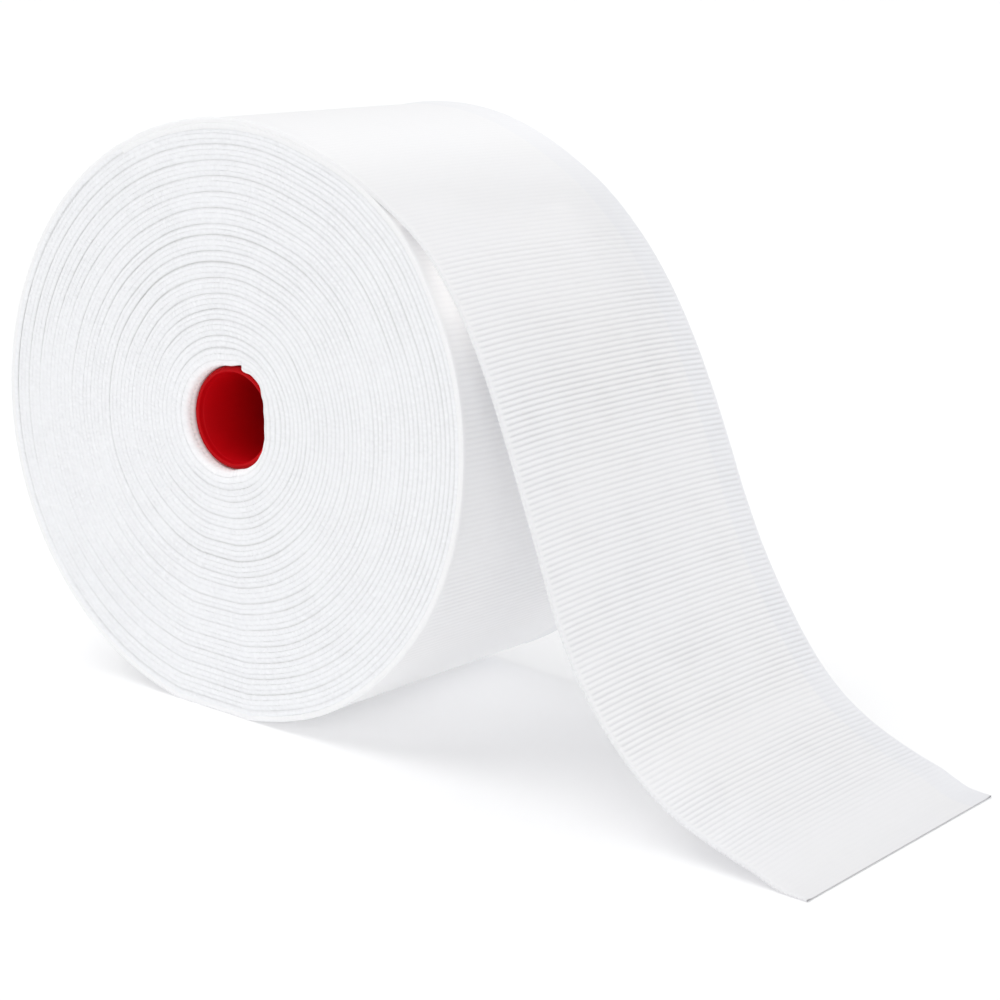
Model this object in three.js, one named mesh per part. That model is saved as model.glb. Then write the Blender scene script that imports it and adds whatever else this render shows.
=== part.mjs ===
// Roll of curtain heading tape: a stiff woven tape with ribs across it, wound on a plastic tube.
// The roll stands on its rim, and the last stretch of tape runs off the top and down to the
// surface beside it.
//
// Units are millimetres. X runs the way the loose end does, Y along the roll's axis, Z is up.
// The origin is on the surface, under the middle of the roll's axis.
// Angles are in degrees, from +X over the top to -X, as seen from the near end at -Y.

import * as THREE from 'three';

// Driving dimensions of the tape
const TAPE_WIDTH = 100;
const WEB_THICKNESS = 1.0;
const RIB_HEIGHT = 0.2;
const RIB_PITCH = 1.515;
const CLEARANCE = 0.3;
const TAPE_THICKNESS = WEB_THICKNESS + RIB_HEIGHT;
const TURN_PITCH = TAPE_THICKNESS + CLEARANCE;

// Driving dimensions of the roll
const ROLL_RADIUS = 86;
const AXIS_HEIGHT = 84.3;
const LEAVES_AT = 74.5;      // angle at which the loose end lifts off the roll
const PARTS_AT = 120;        // angle at which the loose end's own solid begins
const BANDS = 15;            // raised bands on each end face, of about three turns each
const GROOVE_DEPTH = 0.8;
const COLUMNS = 36;          // steps in one round of a band, of the bore and of the tube

// The plastic tube sits a little above the rim's centre, because the roll's own weight
// presses its lowest turns
const TUBE = {
  outerRadius: 14.8,
  innerRadius: 12.9,
  recess: 3.5,
  edge: 0.3,
  right: 0.6,
  up: 1.3,
};
const BORE_RADIUS = TUBE.outerRadius + CLEARANCE;

// How far the outermost turn stands out from an even spiral. Below, the surface cuts it flat.
const SHAPE = [
  { degrees: 0, out: 0.6 },
  { degrees: 28, out: 1.1 },
  { degrees: 50, out: 0.9 },
  { degrees: 74.5, out: 0 },
  { degrees: 104, out: -0.5 },
  { degrees: 150, out: 0.3 },
  { degrees: 185, out: 0.7 },
  { degrees: 235, out: 0.5 },
  { degrees: 256, out: 0.3 },
  { degrees: 281, out: 0.3 },
  { degrees: 300, out: 1.1 },
  { degrees: 330, out: 1.1 },
  { degrees: 360, out: 0.6 },
];

// The loose end's way down: off the roll, through the point where its bend turns over,
// and out along the surface to the cut
const TURNOVER = { x: 115.7, z: 59.0, slope: 65.3, reachBefore: 59.5, reachAfter: 57.0 };
const TOUCHDOWN = { x: 190, reachBefore: 6 };
const LIFT_OFF_REACH = 59.3;
const CUT_X = 197;

// How the loose end twists and crowns on its way, as heights over its middle line
const TWIST = [
  { along: 0, near: 0, far: 0, crown: 0 },
  { along: 68, near: 0, far: 0, crown: 0 },
  { along: 120, near: 1.1, far: -1.3, crown: 0.3 },
  { along: 197, near: 0, far: 0, crown: 0.5 },
  { along: 236, near: -0.9, far: 1.5, crown: 0.5 },
  { along: 268, near: -0.9, far: 0.4, crown: 0.4 },
  { along: 303, near: 1.5, far: 1.9, crown: 0.2 },
  { along: 316, near: 0, far: 0, crown: 0 },
  { along: 330, near: 0, far: 0, crown: 0 },
];
const LINES_ACROSS = [-1, -1 / 3, 1 / 3, 1];   // lines of corners across the width
const RIBS_PER_BACK_STEP = 2;                  // the plain back takes longer steps

const radians = THREE.MathUtils.degToRad;

// Reads a table at a place, easing from each row to the next
function eased(table, key, place, value) {
  const next = Math.max(1, table.findIndex((row) => row[key] >= place));
  const before = table[next - 1];
  const after = table[next];
  const share = (place - before[key]) / (after[key] - before[key]);
  const ease = (1 - Math.cos(Math.PI * share)) / 2;
  return THREE.MathUtils.lerp(before[value], after[value], ease);
}

// Even spiral of the tape's outer face, from the angle at which the loose end leaves
function spiralRadius(angle) {
  return ROLL_RADIUS - TURN_PITCH * (angle - LEAVES_AT) / 360;
}

// The same face as it lies, pressed out of round and flat on the surface
function faceRadius(angle, below = 0) {
  const free = spiralRadius(angle) + eased(SHAPE, 'degrees', angle % 360, 'out') - below;
  const down = -Math.sin(radians(angle));
  return down > 0 ? Math.min(free, AXIS_HEIGHT / down) : free;
}

// A corner of an end face. Inner turns follow the rim's shape less and less, and lie round
// the tube's centre more and more.
function turnPoint(angle, radius) {
  const outermost = PARTS_AT + (angle - PARTS_AT) % 360;
  const outOfRound = faceRadius(outermost) - spiralRadius(outermost);
  const reach = radius + outOfRound * (radius / ROLL_RADIUS) ** 2;
  const inward = (ROLL_RADIUS - radius) / (ROLL_RADIUS - BORE_RADIUS);
  return new THREE.Vector2(
    TUBE.right * inward + reach * Math.cos(radians(angle)),
    AXIS_HEIGHT + TUBE.up * inward + reach * Math.sin(radians(angle)),
  );
}

function borePoint(angle) {
  return new THREE.Vector2(
    TUBE.right + BORE_RADIUS * Math.cos(radians(angle)),
    AXIS_HEIGHT + TUBE.up + BORE_RADIUS * Math.sin(radians(angle)),
  );
}

// A closed skin, made by joining rows of corners
class Skin {
  constructor() {
    this.corners = [];
    this.triangles = [];
  }

  corner(x, y, z) {
    this.corners.push(x, y, z);
    return this.corners.length / 3 - 1;
  }

  // A row of corners from a list of 2D points, all at one place along Y
  row(points, y) {
    return points.map((point) => this.corner(point.x, y, point.y));
  }

  // Where two corners are one, there is no triangle
  triangle(a, b, c, turned = false) {
    if (a === b || b === c || c === a) return;
    if (turned) this.triangles.push(a, c, b);
    else this.triangles.push(a, b, c);
  }

  // Fills the strip between two rows that run the same way, whatever their counts. With the
  // first row running to the right and the second one above it, the strip faces the viewer,
  // or away when turned.
  join(first, second, turned = false) {
    let i = 0;
    let j = 0;
    while (i < first.length - 1 || j < second.length - 1) {
      const firstNext = (i + 1) / (first.length - 1);
      const secondNext = (j + 1) / (second.length - 1);
      const along = j === second.length - 1 || (i < first.length - 1 && firstNext <= secondNext);
      const third = along ? first[i + 1] : second[j + 1];
      this.triangle(first[i], third, second[j], turned);
      if (along) i += 1;
      else j += 1;
    }
  }

  geometry() {
    const geometry = new THREE.BufferGeometry();
    geometry.setAttribute('position', new THREE.Float32BufferAttribute(this.corners, 3));
    geometry.setIndex(this.triangles);
    geometry.computeVertexNormals();
    return geometry;
  }
}

// Outline of the wound tape for one round, a rib's crest and groove in turn
function rimPoints() {
  const ribs = Math.round(2 * Math.PI * ROLL_RADIUS / RIB_PITCH);
  const points = [];
  for (let i = 0; i <= 2 * ribs; i += 1) {
    const angle = PARTS_AT + 360 * i / (2 * ribs);
    const radius = faceRadius(angle, i % 2 === 1 ? RIB_HEIGHT : 0);
    points.push(new THREE.Vector2(
      radius * Math.cos(radians(angle)),
      AXIS_HEIGHT + radius * Math.sin(radians(angle)),
    ));
  }
  return points;
}

// One end face: a band that winds from the step in the rim down to the bore, with a groove
// beside it that is deepest on the side away from the loose end
function fillEndFace(skin, rim, bore, y, inwards) {
  const turned = inwards < 0;
  const outermost = spiralRadius(PARTS_AT + 360);
  const bandPitch = (outermost - BORE_RADIUS) / BANDS;
  const place = (k, bandsIn, depth) => {
    const angle = PARTS_AT + 360 * k / COLUMNS;
    const point = turnPoint(angle, outermost - bandPitch * bandsIn);
    return skin.corner(point.x, y + inwards * depth(angle), point.y);
  };
  const level = () => 0;
  const sunk = (angle) => GROOVE_DEPTH * (0.6 - 0.4 * Math.cos(radians(angle)));

  const crest = [rim.at(-1)];
  for (let k = 1; k < BANDS * COLUMNS; k += 1) crest.push(place(k, k / COLUMNS, level));
  crest.push(bore[0]);
  const groove = [];
  for (let k = 0; k <= (BANDS - 1) * COLUMNS; k += 1) {
    groove.push(place(k, k / COLUMNS + 0.5, sunk));
  }

  const round = (line, band) => line.slice(band * COLUMNS, (band + 1) * COLUMNS + 1);
  const last = BANDS - 1;
  skin.join(rim, round(crest, 0), turned);
  for (let band = 0; band < last; band += 1) {
    skin.join(round(crest, band), round(groove, band), turned);
    skin.join(round(groove, band), round(crest, band + 1), turned);
  }
  skin.join(round(crest, last), bore, turned);
  skin.triangle(crest[0], groove[0], crest[COLUMNS], turned);
  skin.triangle(crest[last * COLUMNS], bore[0], groove.at(-1), turned);
}

function woundTape() {
  const skin = new Skin();
  const half = TAPE_WIDTH / 2;
  const rim = rimPoints();
  const nearRim = skin.row(rim, -half);
  const farRim = skin.row(rim, half);

  const bore = [];
  for (let k = 0; k < COLUMNS; k += 1) bore.push(borePoint(PARTS_AT + 360 * k / COLUMNS));
  const nearBore = skin.row(bore, -half);
  const farBore = skin.row(bore, half);
  nearBore.push(nearBore[0]);
  farBore.push(farBore[0]);

  skin.join([...farRim, farRim[0]], [...nearRim, nearRim[0]]);
  skin.join(nearBore, farBore);
  fillEndFace(skin, nearRim, nearBore, -half, 1);
  fillEndFace(skin, farRim, farBore, half, -1);
  return skin.geometry();
}

// Middle line of the loose end, from the cut in its own solid to its cut end
function looseEndPath() {
  const middle = TAPE_THICKNESS / 2;
  const first = PARTS_AT - THREE.MathUtils.radToDeg(CLEARANCE / ROLL_RADIUS);
  const onRoll = [];
  const steps = 24;
  for (let i = 0; i <= steps; i += 1) {
    const angle = THREE.MathUtils.lerp(first, LEAVES_AT, i / steps);
    const radius = faceRadius(angle) - middle;
    onRoll.push(new THREE.Vector2(
      radius * Math.cos(radians(angle)),
      AXIS_HEIGHT + radius * Math.sin(radians(angle)),
    ));
  }

  const leave = onRoll[steps];
  const leaveWay = new THREE.Vector2(Math.sin(radians(LEAVES_AT)), -Math.cos(radians(LEAVES_AT)));
  const turn = new THREE.Vector2(TURNOVER.x, TURNOVER.z);
  const turnWay = new THREE.Vector2(
    Math.cos(radians(TURNOVER.slope)),
    -Math.sin(radians(TURNOVER.slope)),
  );
  const touch = new THREE.Vector2(TOUCHDOWN.x, middle);
  const after = (point, way, reach) => point.clone().addScaledVector(way, reach);

  const path = new THREE.CurvePath();
  path.add(new THREE.SplineCurve(onRoll));
  path.add(new THREE.CubicBezierCurve(
    leave,
    after(leave, leaveWay, LIFT_OFF_REACH),
    after(turn, turnWay, -TURNOVER.reachBefore),
    turn,
  ));
  path.add(new THREE.CubicBezierCurve(
    turn,
    after(turn, turnWay, TURNOVER.reachAfter),
    new THREE.Vector2(TOUCHDOWN.x - TOUCHDOWN.reachBefore, middle),
    touch,
  ));
  path.add(new THREE.LineCurve(touch, new THREE.Vector2(CUT_X, middle)));
  return path;
}

function looseEnd() {
  const skin = new Skin();
  const path = looseEndPath();
  const length = path.getLength();
  const ribs = Math.round(length / RIB_PITCH);

  // One line of corners along the tape, at a place across it from -1, near, to 1, far
  const line = (across, steps, heightAt) => {
    const row = [];
    for (let i = 0; i <= steps; i += 1) {
      const along = length * i / steps;
      const middle = path.getPoint(i / steps);
      const way = path.getTangent(i / steps);
      const twist = (value) => eased(TWIST, 'along', along, value);
      const lift = twist('near') * (1 - across) / 2
        + twist('far') * (1 + across) / 2
        + twist('crown') * (1 - across * across);
      const height = lift + heightAt(i);
      row.push(skin.corner(
        middle.x - way.y * height,
        across * TAPE_WIDTH / 2,
        middle.y + way.x * height,
      ));
    }
    return row;
  };

  const half = TAPE_THICKNESS / 2;
  const ribbed = (i) => (i % 2 === 1 ? half : half - RIB_HEIGHT);
  const plain = () => -half;
  const backSteps = Math.round(ribs / RIBS_PER_BACK_STEP);
  const top = LINES_ACROSS.map((across) => line(across, 2 * ribs, ribbed));
  const back = LINES_ACROSS.map((across) => line(across, backSteps, plain));

  const last = LINES_ACROSS.length - 1;
  for (let k = 0; k < last; k += 1) {
    skin.join(top[k], top[k + 1]);
    skin.join(back[k], back[k + 1], true);
  }
  skin.join(back[0], top[0]);
  skin.join(top[last], back[last]);
  skin.join(top.map((row) => row[0]), back.map((row) => row[0]));
  skin.join(back.map((row) => row[backSteps]), top.map((row) => row[2 * ribs]));
  return skin.geometry();
}

// The tube is turned about Y, with its rims broken by a small bevel
function plasticTube() {
  const end = TAPE_WIDTH / 2 - TUBE.recess;
  const { outerRadius, innerRadius, edge } = TUBE;
  const profile = [
    [innerRadius, -end + edge],
    [innerRadius + edge, -end],
    [outerRadius - edge, -end],
    [outerRadius, -end + edge],
    [outerRadius, end - edge],
    [outerRadius - edge, end],
    [innerRadius + edge, end],
    [innerRadius, end - edge],
    [innerRadius, -end + edge],
  ].map(([radius, y]) => new THREE.Vector2(radius, y));
  return new THREE.LatheGeometry(profile, COLUMNS);
}

const cloth = new THREE.MeshStandardMaterial({ color: 0xf3f4f6, roughness: 0.9, metalness: 0 });
const redPlastic = new THREE.MeshStandardMaterial({ color: 0xcf1219, roughness: 0.35, metalness: 0 });

function named(name, geometry, material) {
  const mesh = new THREE.Mesh(geometry, material);
  mesh.name = name;
  return mesh;
}

const roll = new THREE.Group();
const core = named('core', plasticTube(), redPlastic);
core.position.set(TUBE.right, 0, AXIS_HEIGHT + TUBE.up);
roll.add(core);
roll.add(named('tape_roll', woundTape(), cloth));
roll.add(named('tape_loose_end', looseEnd(), cloth));

export default roll;
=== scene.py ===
"""Looks of a roll of curtain heading tape: the wound turns, the loose end and the plastic tube.

Lengths in this file are millimetres and angles degrees, until a mesh is made. The frame is the
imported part's: X runs the way the loose end does, Y along the roll's axis, Z is up, and the
origin is on the surface under the middle of the axis. Angles run from +X over the top to -X.
"""

import math

import bpy
import numpy as np
from mathutils import Matrix, Vector


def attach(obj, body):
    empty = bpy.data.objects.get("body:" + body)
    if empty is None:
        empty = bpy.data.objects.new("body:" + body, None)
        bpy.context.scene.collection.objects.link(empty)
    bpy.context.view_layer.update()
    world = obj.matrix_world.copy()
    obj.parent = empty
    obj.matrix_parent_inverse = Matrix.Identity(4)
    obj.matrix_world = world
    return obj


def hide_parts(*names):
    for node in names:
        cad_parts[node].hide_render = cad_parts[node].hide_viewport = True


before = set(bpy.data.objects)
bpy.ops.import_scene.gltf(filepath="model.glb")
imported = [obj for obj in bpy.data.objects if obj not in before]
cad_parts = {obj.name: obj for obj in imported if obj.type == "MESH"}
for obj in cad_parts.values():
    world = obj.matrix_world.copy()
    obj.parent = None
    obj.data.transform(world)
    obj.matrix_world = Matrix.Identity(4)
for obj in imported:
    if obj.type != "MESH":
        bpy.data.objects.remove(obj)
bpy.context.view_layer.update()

MM = 0.001
SEEDS = {"waves": 5, "outer ribs": 11, "rib zones": 21, "rib patches": 22,
         "near face": 31, "far face": 47}

# The tape
HALF_WIDTH = 50.0
THICKNESS = 1.2
RIB_HEIGHT = 0.34
RIB_SHARE_BELOW = 0.4       # how high the ribs of its inner face are, against the outer ones
RIB_PITCH = 1.515
RIB_BOW = 1.15              # how far the ribs run back at the edges
SCALLOP = 0.2               # how far the edges go in between ribs
SCALLOP_ON_ROLL = 0.04
TUCK = 0.35                 # how far its inner face reaches into the turns that it lies on
STRIP_AT = 38.9             # the woven line beside the far edge
STRIP_DEPTH = 0.1
STRIP_REACH = 0.7
SELVEDGE_AT = 47.9          # the flatter edges outside the ribs
SELVEDGE_REACH = 1.2
BEAD_AT = 48.6              # the thicker thread along each edge
BEAD_HEIGHT = 0.1
BEAD_REACH = 1.2

# The roll
ROLL_RADIUS = 86.0
AXIS_HEIGHT = 84.3
LEAVES_AT = 74.5            # where the loose end leaves it
PARTS_AT = 120.0            # where the outermost turn's mesh ends and the loose end's starts
BORE_RADIUS = 15.1
BORE_RIGHT = 0.6            # from the roll's axis to the bore's
BORE_UP = 1.3

# How far its outline stands out from an even spiral. Between 30 and 70 degrees, where it meets
# the loose end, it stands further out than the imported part's
SHAPE = np.array([
    # degrees, out
    (0, 0.6), (28, 1.2), (46, 2.3), (54, 1.95), (74.5, 0.0), (104, -0.5), (150, 0.3),
    (185, 0.7), (235, 0.5), (256, 0.3), (281, 0.3), (300, 1.1), (330, 1.1), (360, 0.6),
])

# How far the innermost turn stands out from the tube at the mouth, where it is free to
MOUTH = np.array([
    # degrees, out
    (0, -1.5), (15, -1.35), (32, -0.3), (46, 0.9), (58, 0.8), (69, 0.15), (90, -0.1),
    (120, 0.0), (200, 0.0), (270, -0.2), (287, -0.7), (302, -0.3), (318, -0.15),
    (330, -0.35), (345, -0.85), (360, -1.5),
])

# The winding: its angle grows inwards, from the loose end to the cut end in the bore
STEPS_PER_TURN = 240
CUT_END_AT = 16630.5
TURNS = (CUT_END_AT - LEAVES_AT) / 360
TURN_PITCH = (ROLL_RADIUS - BORE_RADIUS) / (TURNS + 1)

# The loose end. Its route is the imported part's: from the roll it runs down to where it is
# steepest, and from there to where it touches the surface. A reach is how far a curve follows
# its direction at one of these
LIFT_OFF_REACH = 59.3
STEEPEST = {"x": 115.7, "z": 59.0, "slope": 65.3, "before": 59.5, "after": 57.0}
TOUCHDOWN_X = 190.0
TOUCHDOWN_REACH = 6.0
CUT_X = 197.0
CUT_WITHIN = 12.0           # its last length, over which it thins and drops
CUT_DROP = 0.3
SINGLE_FROM = 70.0          # where it starts to be a single layer, and over which length
SINGLE_WITHIN = 50.0
TWIST = np.array([
    # along, near, far, crown
    (0, 0, 0, 0), (68, 0, 0, 0), (98, 0.1, -0.85, 0.2), (120, 1.1, -1.3, 0.3), (197, 0, 0, 0.5),
    (236, -0.9, 1.5, 0.5), (268, -0.9, 0.4, 0.4), (303, 1.5, 1.9, 0.2),
    (316, 0, 0, 0), (330, 0, 0, 0),
])
# How high the ribs stand along it, as a share of RIB_HEIGHT
RELIEF = np.array([
    # along, share
    (0, 0.34), (26, 0.08), (70, 0.1), (104, 0.14), (117, 0.25), (125, 0.6), (150, 0.9),
    (170, 1.05), (205, 0.8), (235, 1.0), (255, 0.9), (266, 0.55), (280, 0.95), (293, 0.75),
    (302, 0.35), (309, 0.08), (330, 0.04),
])


def eased(table, place, column=1):
    """A column of a table at places along its first column, easing from row to row."""
    row = np.clip(np.searchsorted(table[:, 0], place, side="right") - 1, 0, len(table) - 2)
    start, end = table[row], table[row + 1]
    share = np.clip((place - start[..., 0]) / (end[..., 0] - start[..., 0]), 0, 1)
    ease = (1 - np.cos(np.pi * share)) / 2
    return start[..., column] + (end[..., column] - start[..., column]) * ease


def smooth(share):
    """From 0 to 1 with a soft start and end, level outside them."""
    share = np.clip(share, 0, 1)
    return share * share * (3 - 2 * share)


def ripple(place, seed, waves):
    """An uneven wave between about -1 and 1 along a place, from waves' periods and sizes."""
    phases = np.random.default_rng(seed).uniform(0, 2 * np.pi, len(waves))
    total = sum(size * np.sin(2 * np.pi * place / period + phase)
                for (period, size), phase in zip(waves, phases))
    return total / sum(size for _, size in waves)


def wander(place, seed):
    """An uneven wave between -1 and 1 with a new level at each whole place, eased between."""
    levels = np.random.default_rng(seed).uniform(-1, 1, int(np.max(place)) + 2)
    step = np.floor(place).astype(int)
    share = smooth(place - step)
    return levels[step] * (1 - share) + levels[step + 1] * share


def spiral_radius(angle):
    """The outer face's radius in an even spiral."""
    return ROLL_RADIUS - TURN_PITCH * (angle - LEAVES_AT) / 360


def face_radius(angle):
    """The outermost turn's outer face as it lies, pressed out of round and flat below."""
    free = spiral_radius(angle) + eased(SHAPE, angle % 360)
    down = -np.sin(np.radians(angle))
    flat = AXIS_HEIGHT / np.maximum(down, 1e-6)
    return np.where(down > 0, np.minimum(free, flat), free)


# Meshes


def add_object(name, data):
    thing = bpy.data.objects.new(name, data)
    bpy.context.scene.collection.objects.link(thing)
    return thing


def numbered(grid):
    """The numbers of the corners in a 2D grid of them."""
    return np.arange(grid[..., 0].size).reshape(grid.shape[:2])


def mesh_object(name, corners, quads, uv, material, **marks):
    """An object of smooth quads from corners in millimetres, with a UV place per corner, and
    marks, a number per corner that the material reads by name."""
    mesh = bpy.data.meshes.new(name)
    mesh.vertices.add(len(corners))
    mesh.vertices.foreach_set("co", (np.asarray(corners) * MM).ravel())
    mesh.loops.add(quads.size)
    mesh.loops.foreach_set("vertex_index", quads.ravel())
    mesh.polygons.add(len(quads))
    mesh.polygons.foreach_set("loop_start", np.arange(0, quads.size, 4))
    mesh.polygons.foreach_set("use_smooth", np.ones(len(quads), dtype=bool))
    layer = mesh.uv_layers.new(name="tape")
    layer.data.foreach_set("uv", np.asarray(uv)[quads.ravel()].ravel())
    mesh.update(calc_edges=True)
    mesh.validate()
    mesh.materials.append(material)
    for mark, values in marks.items():
        mesh.attributes.new(mark, "FLOAT", "POINT").data.foreach_set("value", values)
    return add_object(name, mesh)


def grid_quads(ids):
    """Quads between neighbours in a 2D array of corner numbers."""
    return np.stack([ids[:-1, :-1], ids[1:, :-1], ids[1:, 1:], ids[:-1, 1:]], -1).reshape(-1, 4)


def facing(corners, quads, direction):
    """The quads, turned so that most of them face a direction."""
    a, b, c = (corners[quads[:, k]] for k in (0, 1, 3))
    normal = np.cross(b - a, c - a).sum(0)
    return quads if normal @ np.asarray(direction) > 0 else quads[:, ::-1]


def outward(corners, quads):
    """The quads of a closed surface, turned to face outwards."""
    a, b, c, d = (corners[quads[:, k]] for k in range(4))
    volume = np.einsum("ij,ij->i", a, np.cross(b, c)).sum()
    volume += np.einsum("ij,ij->i", a, np.cross(c, d)).sum()
    return quads if volume > 0 else quads[:, ::-1]


# Materials

CLOTH = (0.924, 0.927, 0.937, 1)
CLOTH_COOL = (0.89, 0.90, 0.925, 1)
CLOTH_WARM = (0.93, 0.925, 0.917, 1)
# painted shade for the ribs' grooves; the end faces also use it as the tone of their speckle
CLOTH_SHADE_AND_SPECKLE = (0.77, 0.775, 0.795, 1)
CLOTH_EDGE = (0.921, 0.928, 0.945, 1)
CUT_SHADE = (0.12, 0.12, 0.13, 1)
SEAM_SHADE = (0.52, 0.53, 0.50, 1)
PLASTIC_DEEP = (0.43, 0.0004, 0.003, 1)
PLASTIC_PALE = (0.53, 0.0008, 0.005, 1)
FLOOR_COOL = (0.93, 0.93, 0.935, 1)
FLOOR_WARM = (0.95, 0.95, 0.95, 1)

THREAD_PITCH = 0.72             # of the warp threads, across the tape
MEAN_CREST = 2 / math.pi        # the mean of a crest between 0 and 1
SHADE_ON_RIBS = 0.3             # the painted shade colour's mean share, and how far ribs swing it: darker in their grooves, lighter on their crests
SHADE_SWING = 0.8


class Nodes:
    """Adds linked nodes to a material, most calls returning the new node's output."""

    def __init__(self, name):
        self.material = bpy.data.materials.new(name)
        self.material.use_nodes = True
        self.tree = self.material.node_tree
        self.shader = self.tree.nodes["Principled BSDF"]
        self.place = self.add("ShaderNodeTexCoord", output="Object")

    def add(self, kind, inputs=(), output=0, **settings):
        node = self.tree.nodes.new(kind)
        for key, value in settings.items():
            setattr(node, key, value)
        for key, value in dict(inputs).items():
            self.put(node.inputs[key], value)
        return node.outputs[output]

    def put(self, socket, value):
        if isinstance(value, bpy.types.NodeSocket):
            self.tree.links.new(value, socket)
        else:
            socket.default_value = value

    def surface(self, **inputs):
        """Sets or links the shader's inputs, by their names with underscores."""
        for key, value in inputs.items():
            self.put(self.shader.inputs[key.replace("_", " ")], value)

    def math(self, operation, *values):
        return self.add("ShaderNodeMath", dict(enumerate(values)), operation=operation)

    def total(self, start, *terms):
        """A number plus each term's value times its weight."""
        for value, weight in terms:
            start = self.math("MULTIPLY_ADD", value, weight, start)
        return start

    def mix(self, share, first, second):
        """A colour between two. Its sockets go by number, because their names aren't unique."""
        node = self.tree.nodes.new("ShaderNodeMix")
        node.data_type = "RGBA"
        for socket, value in zip((node.inputs[0], node.inputs[6], node.inputs[7]),
                                 (share, first, second)):
            self.put(socket, value)
        return node.outputs[2]

    def ramp(self, value, stops):
        node = self.tree.nodes.new("ShaderNodeValToRGB")
        while len(node.color_ramp.elements) < len(stops):
            node.color_ramp.elements.new(0.5)
        for element, (place, level) in zip(node.color_ramp.elements, stops):
            element.position = place
            element.color = (level, level, level, 1)
        self.put(node.inputs[0], value)
        return node.outputs[0]

    def noise(self, scale, detail, place=None):
        place = self.place if place is None else place
        return self.add("ShaderNodeTexNoise", {"Vector": place, "Scale": scale, "Detail": detail})

    def bump(self, height, strength, distance):
        return self.add("ShaderNodeBump", {"Height": height, "Strength": strength,
                                           "Distance": distance})

    def mark(self, name):
        """A number that the mesh carries at each corner."""
        return self.add("ShaderNodeAttribute", attribute_name=name, output="Fac")

    def tape_place(self):
        """The UV place: along the tape, in ribs, and across it."""
        uv = self.add("ShaderNodeUVMap", uv_map="tape")
        split = self.add("ShaderNodeSeparateXYZ", {0: uv}).node
        return split.outputs[0], split.outputs[1]


def cloth_material(name, white, through):
    """Woven tape: fine warp threads over the ribs, mottling, and a cooler strip at one edge.
    Its colour carries painted shade in the ribs' grooves, a painted highlight on their crests
    and a painted shadow line at the cut end. The groove mark says how high the ribs stand, and so
    how strong that painted shade is. white scales the colours, and through is the share of
    light that a single layer lets through."""
    n = Nodes(name)
    ribs, across = n.tape_place()
    threads = n.math("SINE", n.math("MULTIPLY", across, 2 * math.pi / THREAD_PITCH))
    crest = n.math("ABSOLUTE", n.math("SINE", n.math("MULTIPLY", ribs, math.pi)))
    relief = n.mark("groove")
    groove = n.math("MULTIPLY", n.math("SUBTRACT", 1.0, crest), relief)
    patch = n.ramp(n.noise(scale=90.0, detail=3.0), [(0.42, 0.0), (0.66, 1.0)])
    stitch = n.math("MULTIPLY", n.math("MULTIPLY", threads, groove), patch)
    grain = n.noise(scale=1900.0, detail=2.0)
    bump = n.bump(n.total(0.0, (stitch, 0.9), (grain, 0.5)), strength=0.5, distance=0.00012)

    plain, warm, cool, painted_shade_colour = ((*(part * scale for part, scale in zip(tone, white)), 1)
                              for tone in (CLOTH, CLOTH_WARM, CLOTH_COOL, CLOTH_SHADE_AND_SPECKLE))
    cloudy = n.noise(scale=22.0, detail=2.0)
    colour = n.mix(n.ramp(cloudy, [(0.35, 0.0), (0.7, 0.35)]), plain, warm)
    strip = n.math("GREATER_THAN", across, STRIP_AT)
    colour = n.mix(n.math("MULTIPLY", strip, 0.65), colour, cool)
    # painted shade in the ribs' grooves and a painted highlight on their crests, as strong as the
    # ribs stand high
    swing = n.math("MULTIPLY", n.math("SUBTRACT", MEAN_CREST, crest), relief)
    shade = n.total(SHADE_ON_RIBS, (swing, SHADE_SWING), (n.math("ABSOLUTE", stitch), 0.25))
    colour = n.mix(shade, colour, painted_shade_colour)
    # a painted shadow line along the cut end
    colour = n.mix(n.mark("cut"), colour, CUT_SHADE)
    n.surface(Base_Color=colour, Normal=bump, Roughness=0.85, Sheen_Weight=0.15)
    if through:
        light = n.add("ShaderNodeBsdfTranslucent", {"Color": colour, "Normal": bump})
        share = n.math("MULTIPLY", n.mark("single"), through)
        both = n.add("ShaderNodeMixShader", {0: share, 1: n.shader.outputs[0], 2: light})
        n.put(n.tree.nodes["Material Output"].inputs[0], both)
    return n.material


def edge_material():
    """The tape's edges in the end faces: rib ends in rows, with a fine grain between them. The
    groove mark says how dark the painted shade in the groove between two turns is."""
    n = Nodes("tape_edges")
    ribs, _ = n.tape_place()
    shift = n.noise(scale=160.0, detail=1.0)
    beads = n.math("SINE", n.math("MULTIPLY", n.math("ADD", ribs, shift), 2 * math.pi))
    fade = n.ramp(n.noise(scale=75.0, detail=2.0), [(0.4, 0.5), (0.65, 1.0)])
    grain = n.noise(scale=1100.0, detail=3.0)
    height = n.total(0.0, (n.math("MULTIPLY", beads, fade), 0.5), (grain, 1.35))
    bump = n.bump(height, strength=0.8, distance=0.00015)

    cloudy = n.noise(scale=26.0, detail=3.0)
    colour = n.mix(n.ramp(cloudy, [(0.4, 0.0), (0.62, 0.15)]), CLOTH_EDGE, CLOTH_COOL)
    speckle = n.noise(scale=620.0, detail=2.0)
    colour = n.mix(n.ramp(speckle, [(0.35, 0.17), (0.6, 0.0)]), colour, CLOTH_SHADE_AND_SPECKLE)
    # painted shade in the grooves between turns
    colour = n.mix(n.mark("groove"), colour, SEAM_SHADE)
    n.surface(Base_Color=colour, Normal=bump, Roughness=0.88, Sheen_Weight=0.15)
    return n.material


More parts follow.
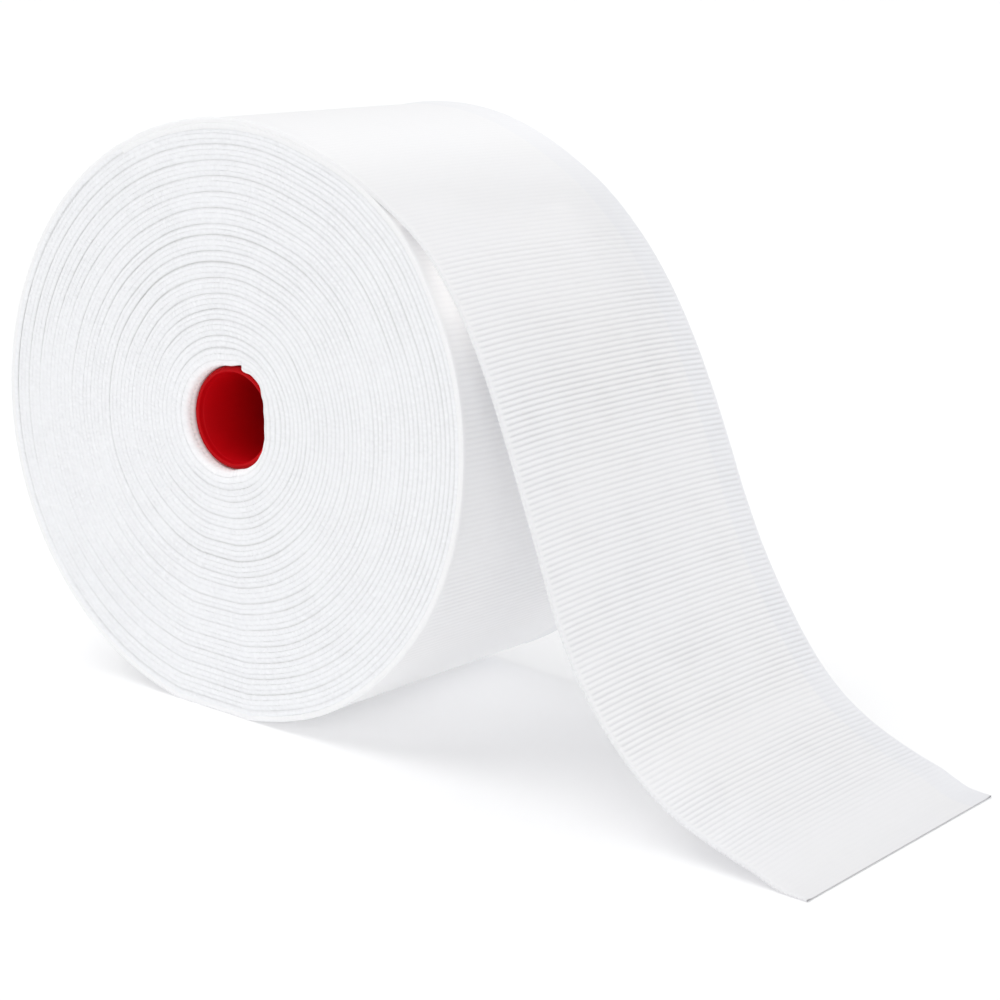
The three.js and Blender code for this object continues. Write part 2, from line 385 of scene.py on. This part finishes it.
def plastic_material():
    """Moulded red plastic, hazy and drawn along the tube."""
    n = Nodes("core_plastic_red")
    haze = n.noise(scale=60.0, detail=3.0)
    drawn = n.add("ShaderNodeMapping", {"Vector": n.place, "Scale": (1.0, 0.05, 1.0)})
    lines = n.noise(scale=700.0, detail=2.0, place=drawn)
    n.surface(
        Base_Color=n.mix(haze, PLASTIC_DEEP, PLASTIC_PALE),
        Normal=n.bump(lines, strength=0.25, distance=0.0001),
        Roughness=n.total(0.42, (haze, 0.15)),
        Specular_IOR_Level=0.1,
    )
    return n.material


def floor_material():
    """A pale, even floor, lit a little from itself."""
    n = Nodes("floor_pale")
    speck = n.noise(scale=3.0, detail=1.0)
    n.surface(
        Base_Color=n.mix(speck, FLOOR_COOL, FLOOR_WARM),
        Emission_Color=(1, 1, 1, 1),
        Emission_Strength=0.08,
        Roughness=0.9,
    )
    return n.material


cloth = cloth_material("tape_cloth", white=(1.032, 1.03, 1.024), through=0)
# The loose end's copy is a little whiter than the wound tape's: painted light that brightens the
# loose end. It also lets light through a single layer.
single_cloth = cloth_material("tape_cloth_single", white=(1.045, 1.04, 1.035), through=0.22)
edges = edge_material()
plastic = plastic_material()


# Wound turns

# How the winding leaves an even spiral
FORM_FADE = 1.5             # the power with which the outline's form fades to the bore
SAG = 0.25                  # how far the outer turns lie in beside the flat spot
SAG_AT = 292.0
SAG_REACH = 16.0
SAG_FROM = 70.0             # the radius from which they do so, and over how much more of it
SAG_WITHIN = 14.0
CLIMB_WITHIN = 22.0         # degrees over which a turn climbs onto the cut end
MOUTH_REACH = 9.0           # how far out from the bore the turns follow its mouth
WAVE_HEIGHT = 0.22
WAVE_SHIFT = 1.3            # degrees for each millimetre of radius
WAVES = ((72, 1.0), (40, 0.6), (24, 0.3))

# Places across one turn at which it has corners, from its outer face to the next turn's
ACROSS_TURN = np.array([0.0, 0.09, 0.26, 0.5, 0.74, 0.91])

# The groove between any two turns: its depth, what it has more on the right side, how far it
# reaches in turns, and how uneven it is round the roll
FINE_DEPTH = 0.03
FINE_MORE = 0.23
FINE_MORE_AT = 8.0
FINE_MORE_FADE = 1.5
FINE_REACH = 0.13
UNEVEN_MEAN = 0.7
UNEVEN = ((57, 0.25), (13, 0.2))

# Grooves that part the turns into bands: the turn, its depth, and where round it shows
BAND_GROOVES = np.array([
    # turn, depth, from, to
    (2, 0.5, 30, 205), (5, 0.5, 25, 185), (8, 0.5, 35, 160), (11, 0.45, 40, 150),
    (14, 0.4, 45, 145), (17, 0.4, 50, 160), (20, 0.45, 50, 140), (22, 0.45, 40, 140),
    (25, 0.4, 50, 150), (27, 0.5, 70, 245), (30, 0.5, 50, 150), (33, 0.45, 40, 135),
    (36, 0.4, 30, 130), (38, 0.4, 40, 130), (41, 0.35, 50, 130), (43, 0.3, 60, 130),
])
BAND_FROM = 160.0           # the angle from which the turns are counted
BAND_TAPER = 3              # how soon a groove starts and ends along its turn
BAND_SHARE = 0.75           # how much of the depth there is, times what is shown
BAND_REACH = 0.2
SHOWN_ALWAYS = 0.1
SHOWN_IN_RANGE = 0.7
SHOWN_BELOW = 0.63          # below, where all bands show
BELOW_FROM = 238.0
BELOW_TO = 300.0
WINDOW_EASE = 25.0          # degrees over which a range starts and ends

# The bands' crowned form, strongest at the top and below
CROWN_HEIGHT = 0.38
CROWN_ALWAYS = 0.25
CROWN_FROM = 55.0
CROWN_TO = 140.0
ENDS_OF_BANDS = 0.4         # how far the first and last band go on past their grooves

LEAN = 0.05                 # how far a turn stands out or lies back
LEAN_PERIOD = 71.0
FACE_BACK = 0.07            # how far the whole face lies behind the tape's edges
CURVED_TURNS = 2.3          # how many turns curve into the bore, and how far
CURVED_DEPTH = 2.1
INNER_EDGE_BACK = 0.25      # where the curved face ends, and the wall of its cut end
CUT_WALL_BACK = 0.4

GROOVE_SHADE = 1.1          # how dark the painted shade in a groove is, for each millimetre of its depth


def turn_point(angle, radius, free=1.0):
    """Place (x, z) of a point of the winding, from its angle, its radius in an even spiral and
    how free it is to stand off the tube's form."""
    outermost = PARTS_AT + (angle - PARTS_AT) % 360
    out_of_round = face_radius(outermost) - spiral_radius(outermost)
    sag = SAG * smooth(1 - np.abs(outermost - SAG_AT) / SAG_REACH)
    inward = (ROLL_RADIUS - radius) / (ROLL_RADIUS - BORE_RADIUS)
    past_cut = (angle - CUT_END_AT) % 360
    at_bore = TURN_PITCH * (past_cut / 360 - smooth(past_cut / CLIMB_WITHIN))
    at_bore = at_bore + free * eased(MOUTH, angle % 360)
    nearness = smooth(1 - (radius - BORE_RADIUS) / MOUTH_REACH)
    place = angle % 360 + radius * WAVE_SHIFT
    wave = WAVE_HEIGHT * ripple(place, SEEDS["waves"], WAVES)
    wave = wave * np.sin(np.pi * np.clip(inward, 0, 1))
    reach = radius + out_of_round * (radius / ROLL_RADIUS) ** FORM_FADE
    reach = reach - sag * smooth((radius - SAG_FROM) / SAG_WITHIN) + at_bore * nearness + wave
    return np.stack([
        BORE_RIGHT * inward + reach * np.cos(np.radians(angle)),
        AXIS_HEIGHT + BORE_UP * inward + reach * np.sin(np.radians(angle)),
    ], -1)


def window(angle, start, end):
    """1 inside a range of angles, easing to 0 outside it."""
    middle, half = (start + end) / 2, (end - start) / 2
    away = np.abs((angle - middle + 180) % 360 - 180)
    return smooth(1 - (away - half) / WINDOW_EASE)


def groove_form(share, reach):
    """1 in a groove's middle, falling to 0 beside it."""
    return np.exp(-(share / reach) ** 2)


def face_depth(angle, across, seed):
    """How far a point of an end face lies behind the tape's edges, and how much of that is
    the groove between two turns."""
    turn = (angle - LEAVES_AT) / 360 + across
    at = angle % 360
    below = window(at, BELOW_FROM, BELOW_TO)

    # each turn's rounded edge, and how deep the groove beside it is
    share = across - np.round(across)
    boundary = np.where(across > 0.5, angle + 360, angle)
    line = (boundary - LEAVES_AT) / 360
    uneven = UNEVEN_MEAN
    for number, (period, size) in enumerate(UNEVEN):
        uneven = uneven + size * wander(boundary / period, seed + 2 * number)
    right = np.maximum(0, np.cos(np.radians(at - FINE_MORE_AT))) ** FINE_MORE_FADE
    groove = (FINE_DEPTH + FINE_MORE * right) * uneven * groove_form(share, FINE_REACH)
    first = (BAND_FROM - LEAVES_AT) / 360
    for number, deep, start, end in BAND_GROOVES:
        near = smooth(0.5 + BAND_TAPER * (0.5 - np.abs(line - number - first)))
        in_range = SHOWN_IN_RANGE * window(at, start, end)
        shown = SHOWN_ALWAYS + np.maximum(in_range, SHOWN_BELOW * below)
        deep = BAND_SHARE * deep * near * shown * uneven
        groove = groove + deep * groove_form(share, BAND_REACH)

    # the bands' crowned form
    numbers = BAND_GROOVES[:, 0] + first
    place = np.interp(turn, numbers, np.arange(len(numbers)), left=-ENDS_OF_BANDS,
                      right=len(numbers) - 1 + ENDS_OF_BANDS)
    crown = (2 * (place % 1) - 1) ** 2
    clear = np.maximum(window(at, CROWN_FROM, CROWN_TO), below)
    band = CROWN_HEIGHT * crown * (CROWN_ALWAYS + (1 - CROWN_ALWAYS) * clear)

    # turns that stand out or lie back a little, each easing into the next
    lean = (1 - across) * wander(angle / LEAN_PERIOD, seed + 1)
    lean = LEAN * (lean + across * wander((angle + 360) / LEAN_PERIOD, seed + 1))

    # the last turns curve into the bore
    last = CUT_END_AT - (CUT_END_AT - angle) % 360
    turns_left = (last - angle) / 360 + 1 - across
    curved = np.clip(1 - turns_left / CURVED_TURNS, 0, 1)
    curved = CURVED_DEPTH * (1 - np.sqrt(1 - curved ** 2))
    return groove + band + lean + curved + FACE_BACK, groove


def ribs_along(angle):
    """The number of ribs along the tape to an angle, from its length in the spiral."""
    length = ROLL_RADIUS * angle - TURN_PITCH * angle ** 2 / (2 * 360)
    return -math.radians(1) * length / RIB_PITCH


def wound_turns(name, side, seed):
    """One half of the winding under the outermost turn: an end face, a plain wall from its rim
    to the middle of the width, and the wall of the cut end."""
    first = PARTS_AT + 360
    count = round((CUT_END_AT - first) / 360 * STEPS_PER_TURN)
    steps = np.linspace(first, CUT_END_AT, count + 1)
    angle, across = np.meshgrid(steps, ACROSS_TURN, indexing="ij")
    point = turn_point(angle, spiral_radius(angle) - TURN_PITCH * across)
    depth, groove = face_depth(angle, across, seed)
    face = np.stack([point[..., 0], side * (HALF_WIDTH - depth), point[..., 1]], -1)
    face_uv = np.stack([ribs_along(angle), (angle - LEAVES_AT) / 360 + across], -1)
    ids = numbered(face)
    face, face_uv = face.reshape(-1, 3), face_uv.reshape(-1, 2)

    # the innermost turn's inner edge closes the face at the bore
    inner_angle = steps[-STEPS_PER_TURN - 1:]
    inner = turn_point(inner_angle, spiral_radius(inner_angle) - TURN_PITCH)
    inner_y = np.full(len(inner), side * (HALF_WIDTH - INNER_EDGE_BACK - CURVED_DEPTH))
    inner = np.column_stack([inner[:, 0], inner_y, inner[:, 1]])
    inner_uv = np.column_stack([ribs_along(inner_angle), (inner_angle - LEAVES_AT) / 360 + 1])
    next_turn = np.concatenate([ids[STEPS_PER_TURN:, 0], ids.size + np.arange(1, len(inner))])
    face_quads = grid_quads(np.column_stack([ids, next_turn]))

    # a plain wall under the outermost turn, to the middle of the width
    rim = ids[:STEPS_PER_TURN + 1, 0]
    wall = np.concatenate([face[rim], face[rim] * (1, 0, 1)])
    wall_ids = ids.size + len(inner) + np.arange(len(wall)).reshape(2, -1)

    # the cut end's own wall, from the curved face to the lining's edge
    cut = np.vstack([face[ids[-1]], inner[-1]])
    low = cut.copy()
    low[:, 1] = side * (HALF_WIDTH - CURVED_DEPTH - CUT_WALL_BACK)
    cut_uv = np.vstack([face_uv[ids[-1]], inner_uv[-1]])
    cut_ids = wall_ids.max() + 1 + np.arange(2 * len(cut)).reshape(2, -1)

    corners = np.concatenate([face, inner, wall, cut, low])
    uv = np.concatenate([face_uv, inner_uv, face_uv[rim], face_uv[rim], cut_uv, cut_uv])
    quads = np.concatenate([
        facing(corners, face_quads, (0, side, 0)),
        grid_quads(wall_ids[::side]),
        grid_quads(cut_ids[::-side]),
    ])
    # painted shade in the grooves between turns, darker where they are deeper
    painted_groove_shade = np.zeros(len(corners))
    painted_groove_shade[:ids.size] = np.clip(GROOVE_SHADE * groove.ravel(), 0, 1)
    return mesh_object(name, corners, quads, uv, edges, groove=painted_groove_shade)


# Ribbed tape

EDGE_RADIUS = 0.3
FLAT_TO = HALF_WIDTH - EDGE_RADIUS
# Places across at which its faces have corners, and turns at which its rounded edges do
ROWS = np.array([48.9, 48.1, 46.5, 43.0, 39.6, 38.9, 38.2, 32.0, 24.0, 16.0, 8.0])
FLAT_ROWS = np.concatenate([[-FLAT_TO], -ROWS, [0.0], ROWS[::-1], [FLAT_TO]])
EDGE_TURNS = np.radians([30, 60, 90, 60, 30])

BOW_WITHIN = 12.0           # how far from a ribbon's ends the ribs start to run back
SELVEDGE_FLATTER = 0.8      # how much lower the ribs' grooves are in the selvedge
SELVEDGE_PALER = 0.85       # and how much less painted shade their grooves have
CUT_SHADOW_ABOVE = 0.35       # how dark the painted shadow line along the cut end is, above and below its middle
CUT_SHADOW_BELOW = 0.9

# The outermost turn. A slant is how much further along its waves are at an edge
OUTER_POINTS = 1441
OUTER_STEPS_PER_RIB = 4
OUTER_BOW = 0.46
OUTER_RELIEF = 0.34
OUTER_SWING = 0.2
OUTER_WAVES = ((61, 1.0), (23, 0.5), (7, 0.2))
OUTER_SLANT = 6.0

# The loose end
LOOSE_STEPS_PER_RIB = 5
START_GAP = 0.03            # degrees between it and the outermost turn's mesh
ON_ROLL_POINTS = 200
CURVE_POINTS = 400
RELIEF_MEAN = 0.92
RELIEF_MOST = 1.2
ZONE_SWING = 0.18
ZONE_WAVES = ((47, 1.0), (19, 0.7), (7, 0.4))
ZONE_SLANT = 3.0
PATCH_SWING = 0.06
PATCH_WAVES = ((106, 1.0), (62, 0.8))
PATCH_SLANT = 80.0
TUCKED_TO = 112.0           # where its last length on the roll ends, which is thicker below
TUCKED_WITHIN = 28.0
SCALLOP_FROM = 75.0         # where its edges' scallops start, and over which length
SCALLOP_WITHIN = 45.0


def cross_section():
    """Points round the tape's section: place across, height as a share of half the
    thickness, and how much each is part of a rounded edge. The top comes first."""
    share = np.array([1, 1, 1, -1, -1]) * np.cos(EDGE_TURNS)
    reach = FLAT_TO + EDGE_RADIUS * np.sin(EDGE_TURNS)
    flat = np.ones(len(FLAT_ROWS))
    y = np.concatenate([FLAT_ROWS, reach, FLAT_ROWS[::-1], -reach])
    height = np.concatenate([flat, share, -flat, -share])
    ends = np.concatenate([0 * flat, np.sin(EDGE_TURNS), 0 * flat, np.sin(EDGE_TURNS)])
    return y, height, ends


def rib_form(phase):
    """A rib's height from 0 to 1, over a phase that is a whole number in each groove."""
    return 1 - np.abs(2 * (phase % 1) - 1) ** 3


def end_caps(ids):
    """Quads that close a ribbon's two ends, from the numbers of its corners."""
    flat = len(FLAT_ROWS)
    first_below = flat + len(EDGE_TURNS)
    caps = []
    for row, turned in ((ids[0], False), (ids[-1], True)):
        below = row[first_below:first_below + flat][::-1]
        cap = grid_quads(np.column_stack([row[:flat], below]))
        caps.append(cap[:, ::-1] if turned else cap)
        far = row[flat - 1:first_below + 1]
        near = np.append(row[first_below + flat - 1:], row[0])
        for edge in (far, near):
            half = len(edge) // 2 + 1
            cap = grid_quads(np.column_stack([edge[:half], edge[::-1][:half]]))
            caps.append(cap if turned else cap[:, ::-1])
    return caps


def ribbon(name, material, length, steps_per_rib, bow, cut, route, relief, lift, halves,
           scallop):
    """A closed length of ribbed tape. If it is cut, its last edge gets a painted shadow line,
    darker below its middle. Functions of the place along and across give the rest: route its
    middle line and the way out from it, relief how high its ribs are, lift how far it stands off
    its line, halves its thickness above and below that, and scallop how far its edges go in
    between ribs."""
    ribs = round(length / RIB_PITCH)
    along = np.linspace(0, length, ribs * steps_per_rib + 1)[:, None]
    phase = np.linspace(0, ribs, ribs * steps_per_rib + 1)[:, None]
    y, share, ends = (row[None, :] for row in cross_section())
    across = y / HALF_WIDTH

    run_back = bow * np.abs(across) ** 3
    run_back = run_back * smooth(along / BOW_WITHIN) * smooth((length - along) / BOW_WITHIN)
    x, z, out_x, out_z = route(along + run_back)

    selvedge = smooth((np.abs(y) - SELVEDGE_AT) / SELVEDGE_REACH)
    rib = rib_form(phase) * relief(along, across)
    bead = BEAD_HEIGHT * smooth(1 - np.abs(np.abs(y) - BEAD_AT) / BEAD_REACH)
    line = STRIP_DEPTH * smooth(1 - np.abs(y - STRIP_AT) / STRIP_REACH)
    above, below = halves(along, across)
    top = above - RIB_HEIGHT * (1 - rib) * (1 - SELVEDGE_FLATTER * selvedge) + bead - line
    bottom = RIB_SHARE_BELOW * RIB_HEIGHT * (1 - rib) - below
    edge = np.where(share > 0, share * top, -share * bottom)
    height = np.where(ends > 0, edge, np.where(share > 0, top, bottom)) + lift(along, across)
    wide = y + scallop(along) * (rib_form(phase) - 1) * ends * np.sign(y)

    corners = np.stack([x + out_x * height, wide, z + out_z * height], -1)
    ids = numbered(corners)
    corners = corners.reshape(-1, 3)
    sides = grid_quads(np.column_stack([ids, ids[:, 0]]))
    quads = outward(corners, np.concatenate([sides, *end_caps(ids)]))
    uv = np.stack(np.broadcast_arrays(phase, y), -1).reshape(-1, 2)
    single = smooth((along - SINGLE_FROM) / SINGLE_WITHIN)
    # the painted shadow line along the cut end, darker below its middle
    shade = cut * np.where(share > 0, CUT_SHADOW_ABOVE, CUT_SHADOW_BELOW)
    return mesh_object(
        name, corners, quads, uv, material,
        groove=(relief(along, across) * (1 - SELVEDGE_PALER * selvedge)).ravel(),
        single=(single + 0 * y).ravel(),
        cut=np.where(along < length, 0, shade).ravel(),
    )


def on_roll(angle, radius):
    """Places (x, z) at angles and distances from the roll's axis."""
    return np.column_stack([
        radius * np.cos(np.radians(angle)),
        AXIS_HEIGHT + radius * np.sin(np.radians(angle)),
    ])


def lengths_to(line):
    """The length along a line of places (x, z) to each of them."""
    step = np.diff(line, axis=0)
    return np.concatenate([[0], np.cumsum(np.hypot(step[:, 0], step[:, 1]))])


def outer_turn():
    """The outermost turn, from where the loose end's mesh starts, once round."""
    angle = np.linspace(PARTS_AT, PARTS_AT + 360, OUTER_POINTS)
    half = TURN_PITCH / 2
    along = lengths_to(on_roll(angle, face_radius(angle) - half))

    def route(place):
        at = np.interp(place, along, angle)
        reach = face_radius(at) - half
        cos, sin = np.cos(np.radians(at)), np.sin(np.radians(at))
        return reach * cos, AXIS_HEIGHT + reach * sin, cos, sin

    def relief(place, across):
        wave = ripple(place + OUTER_SLANT * across, SEEDS["outer ribs"], OUTER_WAVES)
        return OUTER_RELIEF + OUTER_SWING * wave

    def lift(place, across):
        return 0 * place * across

    def halves(place, across):
        even = half + 0 * place * across
        return even, even + TUCK

    def scallop(place):
        return SCALLOP_ON_ROLL + 0 * place

    return ribbon("tape_outer_turn", cloth, along[-1], OUTER_STEPS_PER_RIB, OUTER_BOW, False,
                  route, relief, lift, halves, scallop)


def bezier(points):
    """Points along a curve from its start, two places that it bends towards, and its end."""
    t = np.linspace(0, 1, CURVE_POINTS)[:, None]
    a, b, c, d = (np.asarray(point, dtype=float)[None, :] for point in points)
    return (1 - t) ** 3 * a + 3 * (1 - t) ** 2 * t * b + 3 * (1 - t) * t ** 2 * c + t ** 3 * d


def loose_route():
    """Points of the loose end's middle line, from its start on the roll to its cut end."""
    middle = THICKNESS / 2
    angle = np.linspace(PARTS_AT + START_GAP, LEAVES_AT, ON_ROLL_POINTS)
    start = on_roll(angle, face_radius(angle) - middle)
    leave = start[-1]
    lift_off = math.radians(LEAVES_AT)
    leave_way = np.array([math.sin(lift_off), -math.cos(lift_off)])
    turn = np.array([STEEPEST["x"], STEEPEST["z"]])
    slope = math.radians(STEEPEST["slope"])
    turn_way = np.array([math.cos(slope), -math.sin(slope)])
    touch = np.array([TOUCHDOWN_X, middle])
    hanging = bezier((leave, leave + LIFT_OFF_REACH * leave_way,
                      turn - STEEPEST["before"] * turn_way, turn))
    landing = bezier((turn, turn + STEEPEST["after"] * turn_way,
                      touch - (TOUCHDOWN_REACH, 0), touch))
    return np.concatenate([start, hanging[1:], landing[1:], [(CUT_X, middle)]])


def loose_end():
    """The loose end as a thin ribbed sheet, and its length."""
    line = loose_route()
    along = lengths_to(line)
    way = np.gradient(line, along, axis=0)
    way = way / np.linalg.norm(way, axis=1)[:, None]
    length = along[-1]

    def near_cut(place):
        return CUT_DROP * smooth((place - length + CUT_WITHIN) / CUT_WITHIN)

    def route(place):
        x, z = (np.interp(place, along, line[:, k]) for k in (0, 1))
        way_x, way_z = (np.interp(place, along, way[:, k]) for k in (0, 1))
        return x, z, -way_z, way_x

    def relief(place, across):
        zones = ripple(place + ZONE_SLANT * across, SEEDS["rib zones"], ZONE_WAVES)
        patches = ripple(place + PATCH_SLANT * across, SEEDS["rib patches"], PATCH_WAVES)
        uneven = RELIEF_MEAN + ZONE_SWING * zones + PATCH_SWING * patches
        return np.clip(eased(RELIEF, place) * uneven, 0, RELIEF_MOST)

    def lift(place, across):
        near, far, crown = (eased(TWIST, place, column) for column in (1, 2, 3))
        lifted = near * (1 - across) / 2 + far * (1 + across) / 2 + crown * (1 - across ** 2)
        return lifted - near_cut(place)

    def halves(place, across):
        thin = THICKNESS / 2 - near_cut(place) + 0 * across
        tucked = smooth((TUCKED_TO - place) / TUCKED_WITHIN)
        return thin, thin + (TURN_PITCH - THICKNESS + TUCK) * tucked

    def scallop(place):
        share = smooth((place - SCALLOP_FROM) / SCALLOP_WITHIN)
        return SCALLOP_ON_ROLL + (SCALLOP - SCALLOP_ON_ROLL) * share

    sheet = ribbon("tape_loose_end_cloth", single_cloth, length, LOOSE_STEPS_PER_RIB, RIB_BOW,
                   True, route, relief, lift, halves, scallop)
    return sheet, length


# The innermost turn's inner face

LINING_STEPS_PER_RIB = 6
LINING_EDGE = HALF_WIDTH - CURVED_DEPTH + 0.02
LINING_ROWS = np.array([0, 0.12, 0.42, 0.82, 1.5, 2.1, 2.5, 18])    # in from the edge
LINING_RELIEF = 0.25
ROLLED_DEPTH = 0.7          # its edges roll out into the end faces
ROLLED_WITHIN = 0.82
FREE_FROM = 46.1            # where across it is free of the tube
FREE_WITHIN = 1.6
RIBS_BELOW = 0.05           # how deep its grooves are on the tube, and more at the mouth
RIBS_BELOW_MORE = 0.42
RIBS_MORE_FROM = 46.2
RIBS_MORE_WITHIN = 1.2
SNUG = 0.2                  # how much closer it lies to the tube than at the mouth
SNUG_TO = 45.6
SNUG_WITHIN = 0.8
SCALLOPED_WITHIN = 1.0      # how far in from the edge its scallops reach


def bore_lining():
    """The innermost turn's inner face, ribbed, with its edges rolled into the end faces and
    its cut end standing a little proud."""
    ribs = round(2 * math.pi * BORE_RADIUS / RIB_PITCH)
    steps = ribs * LINING_STEPS_PER_RIB
    angle = np.linspace(CUT_END_AT - 360, CUT_END_AT, steps + 1)[:, None]
    phase = np.linspace(0, ribs, steps + 1)[:, None]
    half = np.append(LINING_EDGE - LINING_ROWS, 0)
    y = np.concatenate([-half, half[-2::-1]])[None, :]
    out = np.abs(y)
    groove = 1 - rib_form(phase)
    rolled = smooth((out - LINING_EDGE + ROLLED_WITHIN) / ROLLED_WITHIN)
    free = smooth((out - FREE_FROM) / FREE_WITHIN)
    deep = RIBS_BELOW + RIBS_BELOW_MORE * smooth((out - RIBS_MORE_FROM) / RIBS_MORE_WITHIN)
    snug = 1 - smooth((out - SNUG_TO) / SNUG_WITHIN)
    drop = ROLLED_DEPTH * rolled ** 2 + deep * groove - SNUG * snug
    point = turn_point(angle + 0 * drop, spiral_radius(angle) - TURN_PITCH + drop, free)
    wide = y - SCALLOP * groove * np.sign(y) * (out > LINING_EDGE - SCALLOPED_WITHIN)
    corners = np.stack([point[..., 0], wide, point[..., 1]], -1)

    # back to the first row, down the step at the cut end
    corners = np.concatenate([corners, corners[:1]])
    phase = np.append(phase, phase[-1:] + 1, axis=0)
    uv = np.stack(np.broadcast_arrays(phase, y), -1).reshape(-1, 2)
    quads = grid_quads(numbered(corners))
    corners = corners.reshape(-1, 3)
    return mesh_object("tape_bore_lining", corners, quads, uv, cloth,
                       groove=np.full(len(corners), LINING_RELIEF))


# Tube

TUBE_SIDES = 128
TUBE_PROFILE = np.array([
    # radius, across
    (12.9, 0), (12.9, 44.3), (13.0, 44.5), (13.12, 44.8), (13.12, 45.7), (13.18, 46.2),
    (13.3, 46.44), (13.5, 46.5), (13.8, 46.48), (14.1, 46.4), (14.35, 46.2),
    (14.55, 45.9), (14.72, 45.5), (14.8, 45.0), (14.8, 0),
])


def tube():
    """The plastic tube, its rims rounded and a fine mould line inside each mouth."""
    profile = np.concatenate([TUBE_PROFILE, TUBE_PROFILE[-2:0:-1] * (1, -1)])
    angle = np.radians(np.arange(TUBE_SIDES) * 360 / TUBE_SIDES)[:, None]
    radius, y = profile[None, :, 0], profile[None, :, 1]
    corners = np.stack([BORE_RIGHT + radius * np.cos(angle), y + 0 * angle,
                        AXIS_HEIGHT + BORE_UP + radius * np.sin(angle)], -1)
    ids = np.pad(numbered(corners), (0, 1), mode="wrap")
    corners = corners.reshape(-1, 3)
    quads = outward(corners, grid_quads(ids))
    return mesh_object("core_tube", corners, quads, corners[:, :2], plastic)


# Pieces

near_turns = wound_turns("tape_wound_near", -1, SEEDS["near face"])
far_turns = wound_turns("tape_wound_far", 1, SEEDS["far face"])
outermost_turn = outer_turn()
lining = bore_lining()
loose, loose_length = loose_end()
core = tube()

for piece in (near_turns, far_turns, outermost_turn, lining):
    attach(piece, "root")
    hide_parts("tape_roll")
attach(loose, "root")
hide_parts("tape_loose_end")
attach(core, "root")
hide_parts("core")

# Floor, light and camera

FLOOR_REACH = 30.0          # metres
FLOOR_DROP = 0.0001
DIFFUSE_BOUNCES = 12
MAX_BOUNCES = 16
WORLD_COLOUR = (0.99, 0.993, 1.0, 1)
WORLD_STRENGTH = 0.587
LIGHTS = (
    # name, from, strength, softness in degrees
    ("key", (-0.35, -0.25, 1.0), 1.15, 50.0),
    ("front", (0.58, -0.78, 0.30), 0.45, 40.0),
    ("back", (0.75, 0.60, 0.25), 0.78, 50.0),
)

# Small soft lamps: in the narrow space between the roll and the loose end, and at the mouth
# of the bore
SMALL_LAMPS = (
    # round the roll, from its axis, across, width, length, radiance
    (49, 87.2, -34.0, 28.0, 6.0, 0.25),
    (43.5, 87.8, -10.0, 70.0, 9.0, 0.2),
    (37.5, 88.6, -11.0, 70.0, 9.0, 0.28),
    (31.5, 89.6, -14.0, 68.0, 9.0, 0.3),
    (25.5, 90.7, -14.0, 68.0, 9.0, 0.15),
    (19.5, 92.1, -14.0, 68.0, 9.0, 0.04),
    (10, 12.0, -50.0, 10.0, 16.0, 2.0),
)
SMALL_LAMP_COLOUR = (1.0, 0.96, 0.89)

CAMERA_AT = (0.47582, -0.56737, 0.24518)    # metres
CAMERA_TURNS = (36.491, 13.374, 3.159)      # round, up and rolled
CAMERA_LENS = 92.08
CAMERA_SENSOR = 36.0
CAMERA_SHIFT = (0.0123, -0.0429)
CAMERA_CLIP = (0.01, 100.0)

scene = bpy.context.scene
scene.cycles.diffuse_bounces = DIFFUSE_BOUNCES
scene.cycles.max_bounces = MAX_BOUNCES
scene.view_settings.view_transform = "Standard"

floor_mesh = bpy.data.meshes.new("floor")
floor_mesh.from_pydata(
    [(x * FLOOR_REACH, y * FLOOR_REACH, -FLOOR_DROP)
     for x, y in ((-1, -1), (1, -1), (1, 1), (-1, 1))],
    [], [(0, 1, 2, 3)])
floor_mesh.materials.append(floor_material())
floor = add_object("floor", floor_mesh)

world = bpy.data.worlds.new("studio")
world.use_nodes = True
background = world.node_tree.nodes["Background"]
background.inputs["Color"].default_value = WORLD_COLOUR
background.inputs["Strength"].default_value = WORLD_STRENGTH
scene.world = world

for name, place, strength, softness in LIGHTS:
    lamp = bpy.data.lights.new(name, "SUN")
    lamp.energy = strength
    lamp.angle = math.radians(softness)
    light = add_object(name, lamp)
    light.rotation_euler = (-Vector(place)).to_track_quat("-Z", "Y").to_euler()

for number, (angle, out, y, width, length, radiance) in enumerate(SMALL_LAMPS):
    lamp = bpy.data.lights.new(f"small_{number}", "AREA")
    lamp.shape = "RECTANGLE"
    lamp.color = SMALL_LAMP_COLOUR
    lamp.size, lamp.size_y = width * MM, length * MM
    lamp.energy = math.pi * lamp.size * lamp.size_y * radiance
    light = add_object(f"small_{number}", lamp)
    away = Vector((math.cos(math.radians(angle)), 0, math.sin(math.radians(angle))))
    across = Vector((0, 1, 0))
    facing_roll = Matrix((across, away.cross(across), away)).transposed()
    place = (out * away + Vector((0, y, AXIS_HEIGHT))) * MM
    light.matrix_world = Matrix.Translation(place) @ facing_roll.to_4x4()
    light.visible_camera = False

azimuth, elevation, roll = (math.radians(turn) for turn in CAMERA_TURNS)
back = Vector((math.sin(azimuth) * math.cos(elevation),
               -math.cos(azimuth) * math.cos(elevation), math.sin(elevation)))
right = Vector((math.cos(azimuth), math.sin(azimuth), 0))
up = back.cross(right)
rolled_right = math.cos(roll) * right + math.sin(roll) * up
rolled_up = math.cos(roll) * up - math.sin(roll) * right
camera_data = bpy.data.cameras.new("camera")
camera_data.lens = CAMERA_LENS
camera_data.sensor_width = CAMERA_SENSOR
camera_data.shift_x, camera_data.shift_y = CAMERA_SHIFT
camera_data.clip_start, camera_data.clip_end = CAMERA_CLIP
camera = add_object("camera", camera_data)
camera_turned = Matrix((rolled_right, rolled_up, back)).transposed().to_4x4()
camera.matrix_world = Matrix.Translation(CAMERA_AT) @ camera_turned
scene.camera = camera
